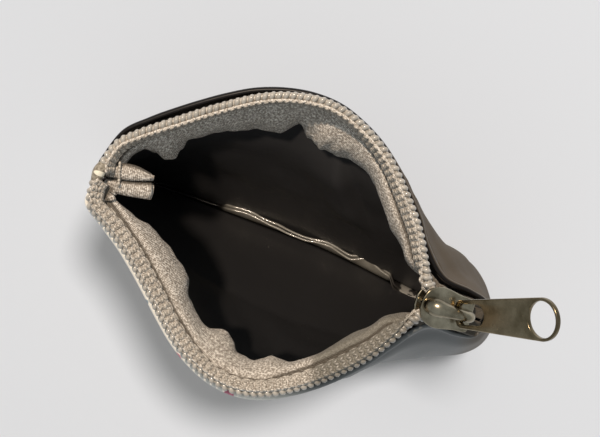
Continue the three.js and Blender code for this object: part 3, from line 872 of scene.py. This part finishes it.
# One panel's outline at a section: a lens from seam to seam, fuller beside the right seam.
def lensLine(side, row):
    points = []
    for i in range(49):
        across = -math.cos(math.pi * i / 48)
        x = mix(row["left"], row["right"], (across + 1) / 2)
        bulge = (1 - across * across) ** (1 / (1 + row["round"]))
        lobe = readTable(panel["lobes"], row["z"], tableColumn[side])
        lobe *= math.exp(-(((x - panel["lobeX"][side]) / panel["lobeWidth"][side]) ** 2)) * math.sqrt(bulge)
        stand = row[side] * bulge + (lobe if row[side] > 0 else 0)
        points.append((x, seamY(row, x) + sides[side] * (panel["gap"] / 2 + stand)))
    return splineThrough(points, 6)


def panelSurface(side):
    hem = evenly(hemLine(side), panel["columns"])
    rows = []
    for row in sections:
        plan = mix(evenly(lensLine(side, row), panel["columns"]), hem, row["rimShare"])
        height = row["z"] + (rim["height"] - rim["hemDrop"] - sections[-1]["z"]) * row["rimShare"]
        z = [height - droop(x) * row["rimShare"] for x in plan[:, 0]]
        rows.append(np.column_stack([plan, z]))
    samples = [k + np.arange(n) / n for k, n in enumerate(panel["samplesPerRow"])]
    surface = throughRows(rows, [*np.concatenate(samples), len(sections) - 1])
    surface[:, :, 2] = np.maximum(surface[:, :, 2], 0)
    return surface


# Unit vectors square to the surface, pointing away from the pouch.
def outwards(surface, side):
    along = np.gradient(surface, axis=1)
    up = np.gradient(surface, axis=0)
    along[:, 0], along[:, -1] = along[:, 1], along[:, -2]
    return unit(np.cross(along, up)) * -sides[side]


hemFold = {"round": 0.55, "bead": 0.42, "beadWidth": 2.3, "second": 0.3, "secondEnd": 5.2, "groove": 0.12}


# How far the folded hem stands proud at a distance below its top edge.
def hemProfile(down):
    turn, width = hemFold["round"], hemFold["beadWidth"]
    fold = np.sqrt(np.maximum(turn**2 - np.maximum(turn - down, 0) ** 2, 0)) - turn
    bead = hemFold["bead"] * np.sin(np.pi * np.clip(down / width, 0, 1))
    lower = np.clip((down - width) / (hemFold["secondEnd"] - width), 0, 1)
    groove = -hemFold["groove"] * np.exp(-(((down - width) / 0.35) ** 2))
    return fold + bead + hemFold["second"] * np.sin(np.pi * lower) + groove


crests = {
    # each panel's fold by x and z, its height inwards, and how far it reaches on its left and right
    "back": {"top": (5, 56), "foot": (26, 2), "height": 3.2, "left": 9, "right": 1.9},
    "front": {"top": (25, 77), "foot": (51, 51), "height": 3.2, "left": 2.0, "right": 3.2},
}


# How far the panel's fold stands inwards: it fades at both ends and near the ground.
def crestShape(side, surface):
    crest = crests[side]
    x, z = surface[:, :, 0], surface[:, :, 2]
    (x1, z1), (x2, z2) = crest["top"], crest["foot"]
    span = math.hypot(x2 - x1, z2 - z1)
    dx, dz = (x2 - x1) / span, (z2 - z1) / span
    away = (x - x1) * -dz + (z - z1) * dx
    along = ((x - x1) * dx + (z - z1) * dz) / span
    shape = np.exp(-((away / np.where(away < 0, crest["left"], crest["right"])) ** 2))
    shape *= ease(along, -0.15, 0.12) * (1 - ease(along, 0.94, 1.12)) * ease(z, 22, 38)
    return crest["height"] * shape


liningCut = {
    "clear": 0.35, "wall": 0.25, "low": 2.2, "apart": 0.5, "hangs": 6.0, "rows": 24,
    "straightTo": {"front": 34, "back": 22},
}


# The lining rises straight from the seam to where it meets the wall, then follows it.
def hangLining(side, inner, below):
    top = max(r for r in range(len(inner)) if below[r].mean() > liningCut["hangs"])
    meets = int(np.argmin(np.abs(inner[:, inner.shape[1] // 2, 2] - liningCut["straightTo"][side])))
    z, apart = liningCut["low"], sides[side] * liningCut["apart"]
    low = np.array([[x, seamAt(x, z) + apart, z] for x in inner[meets][:, 0]])
    rows = [mix(low, inner[meets], k / liningCut["rows"]) for k in range(liningCut["rows"])]
    sheet = np.array([*rows, *inner[meets : top + 1]])
    distances = ruled(np.linspace(0, panel["width"], sheet.shape[1]), np.arange(len(sheet)) * 0.8)
    bm = layGrid(sheet, distances, (0, -sides[side], 0))
    finishPiece(side + "Lining", bm, ["lining"], wall=liningCut["wall"])


# The broad and the smaller bellies of the cloth at one point.
def bellyAt(side, x, y, z):
    broad = wander(x * 0.045, y * 0.045 + 9 * sides[side], z * 0.05)
    return broad + 0.55 * wander(x * 0.15, y * 0.15, z * 0.09)


def makePanel(side, cloth, thread):
    sign = sides[side]
    surface = panelSurface(side)
    high, wide, _ = surface.shape
    normals = outwards(surface, side)
    steps = np.linalg.norm(np.diff(surface, axis=0), axis=2)
    below = np.concatenate([np.cumsum(steps[::-1], axis=0)[::-1], np.zeros((1, wide))])
    middle = np.sin(np.pi * np.linspace(0, 1, wide)) ** 0.5
    soft = np.array([[bellyAt(side, *p) for p in row] for row in surface])
    pucker = np.array([[wander(c * 0.16, 5.5 * sign, 0.02 * r) for c in range(wide)] for r in range(high)])
    fade = ease(surface[:, :, 2], 1, 14) * ease(below, 4, 16)
    shift = hemProfile(below) * np.minimum(middle * 1.4, 1)
    shift += soft * panel["belly"] * fade * middle
    shift += pucker * panel["pucker"] * ease(below, 1, 4) * (1 - ease(below, 6, 26)) * middle
    shift -= crestShape(side, surface) * middle
    surface = surface + normals * shift[:, :, None]
    surface[:, :, 2] = np.maximum(surface[:, :, 2], 0)
    hangLining(side, surface - outwards(surface, side) * (panel["wall"] + liningCut["clear"]), below)
    across = np.broadcast_to(np.linspace(0, panel["width"], wide), below.shape)
    bm = layGrid(surface, np.stack([across, below], axis=2), (0, sign, 0))
    replaced = (side + "_panel",)
    finishPiece(side + "Panel", bm, [cloth, "lining"], replaced, wall=panel["wall"], inside=1)
    level = np.argmin(np.abs(below[:, wide // 2] - hemFold["beadWidth"]))
    row = stitchRows["HemStitches"]
    line = (surface[level] + normals[level] * row["lift"])[row["from"] : row["to"]]
    makeStitches(side, "HemStitches", line, thread)


# The seam's raw edges inside, along the bottom and up both sides.
ridge = {
    "low": 1.5, "height": 4.4, "left": -45, "right": 47, "sideTop": 64, "wall": 0.5, "apart": 0.14,
    "fromLeft": 4, "fromRight": 5.5, "columns": 420, "rows": 10,
    # x, how far the standing edge sways towards the back
    "sway": [
        (-44, 0), (-26, 0.6), (-20, 1), (-14, 1.5), (-6.4, 0.6), (1.6, 0.2), (9.2, 1.3), (14.9, 0.7),
        (19.8, 2.9), (26.3, 1.4), (29, -1.2), (32, -2.2), (40, -0.6), (47, 0),
    ],
}


# The sections below and above a height, and how far it is between them.
def between(z):
    k = max(next(i for i, row in enumerate(sections) if row["z"] >= z), 1)
    low, high = sections[k - 1], sections[k]
    share = (z - low["z"]) / (high["z"] - low["z"]) if high["z"] > low["z"] else 0
    return low, high, share


def seamAt(x, z):
    low, high, share = between(z)
    return mix(seamY(low, x), seamY(high, x), share)


def sideX(side, z):
    low, high, share = between(z)
    return mix(low[side], high[side], share)


# The root of the edge in X and Z: down the left side's seam, along the bottom, up the right.
def ridgeRoot():
    left = [(sideX("left", z) + ridge["fromLeft"], z) for z in np.linspace(ridge["sideTop"], 8, 14)]
    right = [(sideX("right", z) - ridge["fromRight"], z) for z in np.linspace(8, ridge["sideTop"], 14)]
    bottom = [(x, ridge["low"]) for x in np.linspace(ridge["left"], ridge["right"], 24)]
    return evenly(splineThrough([*left, *bottom, *right], 8), ridge["columns"])


def makeRidge():
    root = ridgeRoot()
    along = unit(np.gradient(root, axis=0))
    rows = ridge["rows"]
    bm = bmesh.new()
    for layer in (-1, 1):
        points = np.zeros((rows + 1, len(root), 3))
        for c, ((x, z), (tx, tz)) in enumerate(zip(root, along)):
            tall = ridge["height"] * mix(0.3, 1, ease(x, -22.5, -18)) * mix(0.62, 1, ease(x, 32, 26))
            sway = readTable(ridge["sway"], x, 1) * (1 - ease(z, 4, 16))
            lip = 0.35 * wander(c * 0.05, layer * 3.3) + 0.2 * wander(c * 0.14, layer * 9.1)
            for r in range(rows + 1):
                t = r / rows
                reach = tall * t * (1 + 0.1 * lip)
                px, pz = x - tz * reach, z + tx * reach
                y = seamAt(px, min(pz, 82)) + sway * t * t + layer * (0.28 + ridge["apart"] * t * t) + lip * t
                points[r, c] = (px, y, pz)
        distances = ruled(np.arange(len(root)) * 0.5, np.arange(rows + 1) * 0.4)
        addTo(bm, layGrid(points, distances, (0, layer, 0)), Matrix())
    replaced = ("seam_allowance",)
    finishPiece("seamAllowance", bm, ["seamEdge"], replaced, wall=ridge["wall"], offset=0)


makePanel("front", "frontCloth", "paleThread")
makePanel("back", "backCloth", "darkThread")
makeRidge()

# The left corner: the tapes' folded ends, the cloth that wraps them, and a bar of stitches.
tapeEnds = {
    # each flap's two long edges in plan, from the corner into the mouth
    "back": [((-38.8, 0.9), (-33.6, 1.8), (-29.1, 3.5)), ((-38.6, 3.9), (-34.4, 5.2), (-29.9, 4.7))],
    "front": [((-38.4, -2.0), (-33.4, -1.5), (-28.2, -0.5)), ((-38.6, 0.7), (-33.6, 1.6), (-28.9, 3.1))],
    "top": {"back": 82.8, "front": 82.4},
    "columns": 22, "rows": 14, "slope": 0.16, "dome": 0.35, "wall": 1.15, "layers": (0, -1.35),
    "corner": 0.9,
}


# A tape's end folded on itself: two soft layers that stick out into the mouth.
def makeTapeEnd(side):
    columns, rows = tapeEnds["columns"], tapeEnds["rows"]
    edges = [evenly(splineThrough(edge, 12), columns) for edge in tapeEnds[side]]
    shares = np.linspace(0, 1, columns + 1)
    for layer, drop in enumerate(tapeEnds["layers"]):
        top = tapeEnds["top"][side] + drop
        points = np.zeros((rows + 1, columns + 1, 3))
        for c in range(columns + 1):
            t = c / columns
            for r in range(rows + 1):
                v = 2 * r / rows - 1
                share = t - tapeEnds["corner"] * v * v * ease(t, 0.75, 1) / columns
                low, high = (readLine(edge, shares, share) for edge in edges)
                x, y = mix(low, high, r / rows)
                bulge = tapeEnds["dome"] * (1 - v * v) - 0.5 * abs(v) ** 4
                wave = 0.25 * wander(t * 2.1 + layer, v * 0.8 + 5 * sides[side])
                sink = tapeEnds["slope"] * math.hypot(x + 36.2, y)
                points[r, c] = (x + 0.25 * layer, y, top + bulge + wave - sink)
        distances = ruled(np.arange(columns + 1) * 0.35, np.arange(rows + 1) * 0.28)
        bm = layGrid(points, distances, (0, 0, 1))
        replaced = (side + "_tape_end",) if layer == 0 else ()
        name = side + "TapeEnd" + str(layer + 1)
        finishPiece(name, bm, ["tapeWeave"], replaced, wall=tapeEnds["wall"])


for side in ("back", "front"):
    makeTapeEnd(side)

cornerFold = {
    # along the fold from the back coil to the front coil: x, y, above the rim, half thickness
    "line": [
        (-39.0, 4.4, -1.2, 0.8), (-39.5, 3.1, -0.2, 1.15), (-39.8, 1.9, 0.1, 1.35), (-39.9, 0.8, 0, 1.3),
        (-40.0, -0.3, -0.5, 1.1), (-40.1, -1.4, -1.2, 0.8),
    ],
    # the middle of the painted cream highlight, and its colour
    "paintedHighlight": (-0.0393, 0.0013, 0.0857), "cream": (0.95, 0.90, 0.74),
    "low": (0.17, 0.145, 0.105), "high": (0.40, 0.36, 0.29),
}


# The cloth that wraps the corner, with a cream highlight painted where it turns over.
def makeCornerCloth():
    shader, place = startMaterial("cornerCloth", {"Roughness": 0.55, "Sheen Weight": 0.1})
    threads = noiseAt(place, 1900.0, 2.0)
    away = node("VectorMath", {0: place, 1: cornerFold["paintedHighlight"]}, operation="SUBTRACT").outputs[0]
    flat = node("Mapping", {0: away, 3: (1.0, 2.6, 0.5)}).outputs[0]
    distance = node("VectorMath", {0: flat}, operation="LENGTH").outputs[1]
    # where the cream highlight is painted
    paintedHighlight = fall(distance, 0.0012, 0.0016)
    fibres = rise(threads, 0.3, 0.7)
    paint(shader, cornerFold["low"], (fibres, cornerFold["high"]), (paintedHighlight, cornerFold["cream"]))
    bump(shader, threads, 0.5, 0.0002)


def makeCorner():
    makeCornerCloth()
    line = evenly(splineThrough(cornerFold["line"], 8), 28)
    bm = wire("cornerFold", line[:, :3] + np.array([0, 0, rim["height"]]), 1.0, 5, line[:, 3])
    finishPiece("cornerFold", bm, ["cornerCloth"], ("corner_fold",))
    row = stitchRows["cornerBarTack"]
    y = np.linspace(row["from"], row["to"], 24)
    bar = np.column_stack([row["x"] - 0.3 * y, y, row["z"] + 0.1 * np.cos(y * 2)])
    makeStitches("", "cornerBarTack", bar, "paleThread")


makeCorner()

# The slider's two plates, the post between them and the flanges that hold the coils.
plates = {
    "length": 11.4, "frontHalf": 4.35, "tailHalf": 3.5, "plate": 0.9, "channel": 3, "bevel": 0.28,
    "flange": (6.27, 0.8, 1.3), "flangeTurn": 5, "post": 1.25,
}


# A plate with rounded edges from closed outlines in X and Y; those after the first are holes.
def plate(outlines, thickness, bevel):
    curve = setAll(bpy.data.curves.new("plate", "CURVE"), dimensions="2D", fill_mode="BOTH")
    setAll(curve, extrude=thickness / 2 - bevel, bevel_depth=bevel, bevel_resolution=3, offset=-bevel)
    for points in outlines:
        spline = curve.splines.new("POLY")
        spline.points.add(len(points) - 1)
        for p, (x, y) in zip(spline.points, points):
            p.co = (x, y, 0, 1)
        spline.use_cyclic_u = True
    bm = meshOfCurve(curve)
    bmesh.ops.remove_doubles(bm, verts=bm.verts, dist=0.002)
    return bm


def arc(x, y, radius, start, end, count):
    angles = np.radians(np.linspace(start, end, count))
    return [(x + radius * math.cos(a), y + radius * math.sin(a)) for a in angles]


def plateOutline():
    length, wide, tail = plates["length"], plates["frontHalf"], plates["tailHalf"]
    head = [
        (length / 2, tail - 0.6), (length / 2 - 0.6, tail), (length * 0.2, tail + 0.25),
        (-length * 0.1, wide), (-length * 0.28, wide * 0.93), (-length * 0.43, wide * 0.68),
        (-length / 2, wide * 0.26),
    ]
    upper = splineThrough(head, 6)
    return np.vstack([upper, upper[::-1] * np.array([1, -1])])


def makeSliderBody():
    bm = bmesh.new()
    half = plates["channel"] / 2 + plates["plate"] / 2
    for z in (-half, half):
        addTo(bm, plate([plateOutline()], plates["plate"], plates["bevel"]), Matrix.Translation((0, 0, z)))
    length = plates["length"]
    for sign, up in ((-1, -1), (-1, 1), (1, -1), (1, 1)):
        flange = bmesh.new()
        bmesh.ops.create_cube(flange, size=1)
        bmesh.ops.scale(flange, vec=plates["flange"], verts=flange.verts)
        bmesh.ops.bevel(flange, geom=flange.edges, offset=0.22, segments=2, profile=0.5, affect="EDGES")
        place = (length * 0.21, sign * (plates["tailHalf"] - 0.18), up * (half - 0.35))
        addTo(bm, flange, Matrix.Translation(place) @ turnAbout("Z", -sign * plates["flangeTurn"]))
    post = bmesh.new()
    size = {"radius1": plates["post"], "radius2": plates["post"], "depth": plates["channel"] + 0.6}
    bmesh.ops.create_cone(post, cap_ends=True, segments=20, **size)
    bmesh.ops.scale(post, vec=(1.3, 0.75, 1), verts=post.verts)
    addTo(bm, post, Matrix.Translation((-length / 2 + 2.1, 0, 0)))
    bmesh.ops.transform(bm, matrix=sliderPlace, verts=bm.verts)
    finishPiece("sliderBody", bm, ["sliderMetal"], ("slider_body",))


crown = {
    # along the slider, above its upper plate, and the half thickness there
    "arch": [
        (-3.9, -0.3, 1.4), (-3.75, 0.9, 1.8), (-2.8, 1.9, 1.95), (-1.0, 2.5, 1.55), (1.2, 2.95, 1.2),
        (2.9, 2.95, 1.15), (4.1, 2.4, 1.2), (4.7, 1.2, 1.25), (4.75, -0.3, 1.25),
    ],
    # the room for the pull's bar: from, to, and its ceiling above the plate
    "window": (0.3, 3.5, 2.75),
}


# The bridge over the pull's bar: a thick bar bent from a broad dome to a narrow tail.
def makeCrown():
    line = evenly(splineThrough(crown["arch"], 8), 60)
    points = np.column_stack([line[:, 0], np.zeros(len(line)), line[:, 1]])
    bm = wire("sliderCrown", points, 1.0, 7, line[:, 2])
    front, rear, ceiling = crown["window"]
    for v in bm.verts:
        if front < v.co.x < rear:
            v.co.z = max(v.co.z, ceiling)
    stand = Matrix.Translation((0, 0, plates["channel"] / 2 + plates["plate"]))
    bmesh.ops.transform(bm, matrix=sliderPlace @ stand, verts=bm.verts)
    finishPiece("sliderCrown", bm, ["sliderMetal"], ("slider_crown",))


pull = {
    "yaw": 23, "rise": 49, "thickness": 1.1, "barX": 2.05, "barLift": 1.65, "barWidth": 1.5, "length": 28.4,
    "rootHalf": 3, "endHalf": 4.3, "eyeHalf": 2.2, "eyeLength": 7.0, "hole": 3.65, "bevel": 0.24,
    # half of the rounded root, from the bar's middle to the side
    "root": [(-0.62, -1.5), (-0.1, -2.5), (0.7, -2.92)],
}


# The pull, standing up from the slider, with its eye and its round hole.
def makePull():
    start, wide = pull["barWidth"] / 2, pull["eyeHalf"]
    endX = pull["length"] - start - pull["endHalf"]
    outline = [(-start, 0), *pull["root"], (1.6, -pull["rootHalf"])]
    outline += [*arc(endX, 0, pull["endHalf"], -90, 90, 33), (1.6, pull["rootHalf"])]
    outline += [(x, -y) for x, y in pull["root"][::-1]]
    eye = [(start, -wide + 0.5), (start + 0.5, -wide)]
    eye += arc(start + pull["eyeLength"] - wide, 0, wide, -90, 90, 17)
    eye += [(start + 0.5, wide), (start, wide - 0.5)]
    hole = arc(endX + 0.1, 0, pull["hole"], 0, 348.75, 32)
    bm = plate([outline, eye[::-1], hole[::-1]], pull["thickness"], pull["bevel"])
    lift = plates["channel"] / 2 + plates["plate"] + pull["barLift"]
    place = Matrix.Translation(sliderPlace @ Vector((pull["barX"], 0, lift)))
    turn = turnAbout("Z", pull["yaw"]) @ turnAbout("Y", -pull["rise"])
    bmesh.ops.transform(bm, matrix=place @ turn, verts=bm.verts)
    finishPiece("pullTab", bm, ["pullMetal"], ("pull_tab",), body="pull")


makeSliderBody()
makeCrown()
makePull()

studio = {
    "floor": (0.74, 0.71, 0.695), "floorSize": 30, "sky": (0.36, 0.385, 0.40),
    "target": (0, 0, 0.045),   # the pouch's middle
    "keyFrom": (-0.30, 0.52, 1.0), "insideFrom": (-0.10, 0.06, 1.0),
    "keyColour": (1.0, 0.83, 0.67), "keyStrength": 3.0, "insideStrength": 2.2, "keyAngle": 3.0,
    "softPower": 9.3, "softSize": 0.15, "softColour": (0.96, 0.98, 1.0),
    "softWay": (0.12, 0.16),   # right of and above the camera
    "softAway": 1.1,
}


def makeFloor():
    values = {"Base Color": opaque(studio["floor"]), "Roughness": 0.9, "Specular IOR Level": 0.1}
    startMaterial("floor", values)
    bm = bmesh.new()
    below = Matrix.Translation((0, 0, -0.05 * mm))   # just under the pouch
    bmesh.ops.create_grid(bm, x_segments=1, y_segments=1, size=studio["floorSize"], matrix=below)
    floor = meshObject("floor", bm, ["floor"])
    floor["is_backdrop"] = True
    return floor


# A lamp aimed at the pouch, that lights only the given objects.
def aimLamp(data, way, objects):
    lamp = bpy.data.objects.new(data.name, data)
    scene.collection.objects.link(lamp)
    lamp.location = Vector(studio["target"]) + way
    lamp.rotation_mode = "QUATERNION"
    lamp.rotation_quaternion = way.to_track_quat("Z", "Y")
    group = bpy.data.collections.new(data.name + "Receivers")
    for o in objects:
        group.objects.link(o)
    lamp.light_linking.receiver_collection = group


# The key light, steeper for what lies inside the pouch, and a soft one for the floor's shadow.
def makeLights(floor, pieces):
    world = bpy.data.worlds.new("studio")
    world.use_nodes = True
    world.node_tree.nodes["Background"].inputs["Color"].default_value = opaque(studio["sky"])
    scene.world = world
    linings = [o for o in pieces if "Lining" in o.name or o.name == "seamAllowance"]
    others = [o for o in pieces if o not in linings]
    for name, objects in (("key", others), ("inside", linings)):
        key = setAll(bpy.data.lights.new(name, "SUN"), energy=studio[name + "Strength"])
        setAll(key, angle=math.radians(studio["keyAngle"]), color=studio["keyColour"])
        aimLamp(key, Vector(studio[name + "From"]), objects)
    soft = setAll(bpy.data.lights.new("soft", "AREA"), shape="DISK", size=studio["softSize"])
    setAll(soft, energy=studio["softPower"], color=studio["softColour"])
    right, up = studio["softWay"]
    way = (imageBack + imageRight * right + imageUp * up).normalized()
    aimLamp(soft, way * studio["softAway"], [floor])
    scene.view_settings.view_transform = "Standard"


makeLights(makeFloor(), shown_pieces())
print("lights made")
